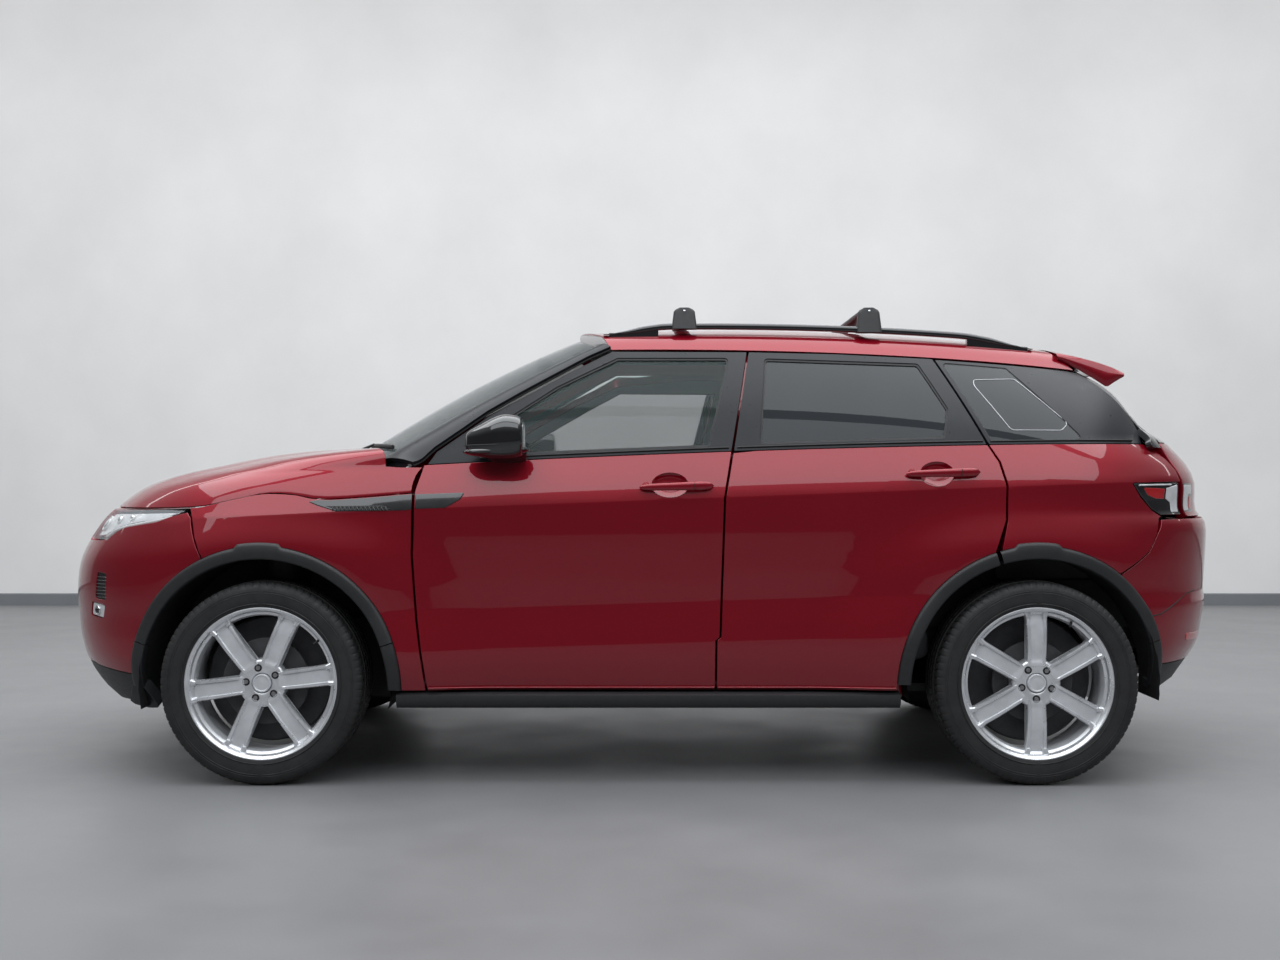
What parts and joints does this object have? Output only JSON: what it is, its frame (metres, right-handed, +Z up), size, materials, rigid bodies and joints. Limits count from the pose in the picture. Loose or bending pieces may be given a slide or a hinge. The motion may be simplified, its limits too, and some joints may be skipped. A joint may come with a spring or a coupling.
{
  "type": "compact sport utility vehicle",
  "caption": "Red five-door compact sport utility vehicle with a raked roof, black arch mouldings, alloy wheels, roof rails and cross bars; its doors, lids, wheels and steering move.",
  "frame": {"origin": "on the ground under the middle of the vehicle", "axes": "+X towards the rear, +Y towards the vehicle's right side, +Z up"},
  "size_m": [4.3522, 2.11, 1.678],
  "materials": {
    "red_paint": "gloss",
    "black_trim": "satin",
    "gloss_black": "gloss",
    "clear_glass": "gloss",
    "dark_glass": "gloss",
    "lamp_clear": "gloss",
    "lamp_red": "gloss",
    "alloy": "satin",
    "tyre_rubber": "matte",
    "under_coat": "matte",
    "steel": "satin",
    "cast": "matte",
    "seat_leather": "satin",
    "dash_plastic": "matte"
  },
  "bodies": {
    "body": {"underbody": "under_coat", "body_side_left": "red_paint", "body_side_right": "red_paint", "roof": "red_paint", "fenders": "red_paint", "front_bumper": "red_paint", "rear_bumper": "red_paint", "grilles": "gloss_black", "front_lamps": "lamp_clear", "tail_lamps": "lamp_red", "fixed_glass": "clear_glass", "arch_liners": "black_trim", "roof_rack": "gloss_black", "wipers": "black_trim", "engine": "cast", "front_suspension": "cast", "rear_suspension": "cast", "exhaust": "steel", "front_seats": "seat_leather", "rear_seat": "seat_leather", "dashboard": "dash_plastic", "hinge_pins": "steel", "arch_mouldings": "black_trim", "lower_trim": "black_trim"},
    "door_front_left": {"door_front_left": "red_paint", "glass_front_left": "clear_glass", "mirror_left": "gloss_black"},
    "door_front_right": {"door_front_right": "red_paint", "glass_front_right": "clear_glass", "mirror_right": "gloss_black"},
    "door_rear_left": {"door_rear_left": "red_paint", "glass_rear_left": "dark_glass"},
    "door_rear_right": {"door_rear_right": "red_paint", "glass_rear_right": "dark_glass"},
    "tailgate": {"tailgate": "red_paint", "tailgate_glass": "dark_glass"},
    "bonnet": {"bonnet": "red_paint"},
    "knuckle_left": {"knuckle_left": "cast"},
    "knuckle_right": {"knuckle_right": "cast"},
    "steering_wheel": {"steering_wheel": "dash_plastic"},
    "wheel_front_left": {"rim_front_left": "alloy", "tyre_front_left": "tyre_rubber"},
    "wheel_front_right": {"rim_front_right": "alloy", "tyre_front_right": "tyre_rubber"},
    "wheel_rear_left": {"rim_rear_left": "alloy", "tyre_rear_left": "tyre_rubber"},
    "wheel_rear_right": {"rim_rear_right": "alloy", "tyre_rear_right": "tyre_rubber"}
  },
  "joints": [
    {"name": "steer_left", "type": "hinge", "parent": "body", "child": "knuckle_left", "pos_m": [-1.306, -0.775, 0.35], "axis": [0, 0, 1], "range_deg": [-35, 35]},
    {"name": "steer_right", "type": "hinge", "parent": "body", "child": "knuckle_right", "pos_m": [-1.306, 0.775, 0.35], "axis": [0, 0, 1], "range_deg": [-35, 35]},
    {"name": "steering_wheel_turn", "type": "hinge", "parent": "body", "child": "steering_wheel", "pos_m": [-0.472, -0.365, 0.98], "axis": [0.9135, 0, 0.4067], "range_deg": [-500, 500]},
    {"name": "spin_front_left", "type": "hinge", "parent": "knuckle_left", "child": "wheel_front_left", "pos_m": [-1.306, -0.811, 0.35], "axis": [0, -1, 0], "continuous": true},
    {"name": "spin_front_right", "type": "hinge", "parent": "knuckle_right", "child": "wheel_front_right", "pos_m": [-1.306, 0.811, 0.35], "axis": [0, -1, 0], "continuous": true},
    {"name": "spin_rear_left", "type": "hinge", "parent": "body", "child": "wheel_rear_left", "pos_m": [1.356, -0.811, 0.35], "axis": [0, -1, 0], "continuous": true},
    {"name": "spin_rear_right", "type": "hinge", "parent": "body", "child": "wheel_rear_right", "pos_m": [1.356, 0.811, 0.35], "axis": [0, -1, 0], "continuous": true},
    {"name": "front_left_door_swing", "type": "hinge", "parent": "body", "child": "door_front_left", "pos_m": [-0.715, -0.875, 0.685], "axis": [0, 0, -1], "range_deg": [0, 68]},
    {"name": "front_right_door_swing", "type": "hinge", "parent": "body", "child": "door_front_right", "pos_m": [-0.715, 0.875, 0.685], "axis": [0, 0, 1], "range_deg": [0, 68]},
    {"name": "rear_left_door_swing", "type": "hinge", "parent": "body", "child": "door_rear_left", "pos_m": [0.315, -0.875, 0.685], "axis": [-0.0523, 0, -0.9986], "range_deg": [0, 68]},
    {"name": "rear_right_door_swing", "type": "hinge", "parent": "body", "child": "door_rear_right", "pos_m": [0.315, 0.875, 0.685], "axis": [0.0523, 0, 0.9986], "range_deg": [0, 68]},
    {"name": "bonnet_lift", "type": "hinge", "parent": "body", "child": "bonnet", "pos_m": [-0.8, 0, 1.1], "axis": [0, 1, 0], "range_deg": [0, 50]},
    {"name": "tailgate_lift", "type": "hinge", "parent": "body", "child": "tailgate", "pos_m": [1.452, 0, 1.496], "axis": [0, -1, 0], "range_deg": [0, 75]}
  ],
  "couplings": [
    {"joint": "steer_right", "follows": "steer_left", "ratio": 1},
    {"joint": "steering_wheel_turn", "follows": "steer_left", "ratio": 14}
  ]
}
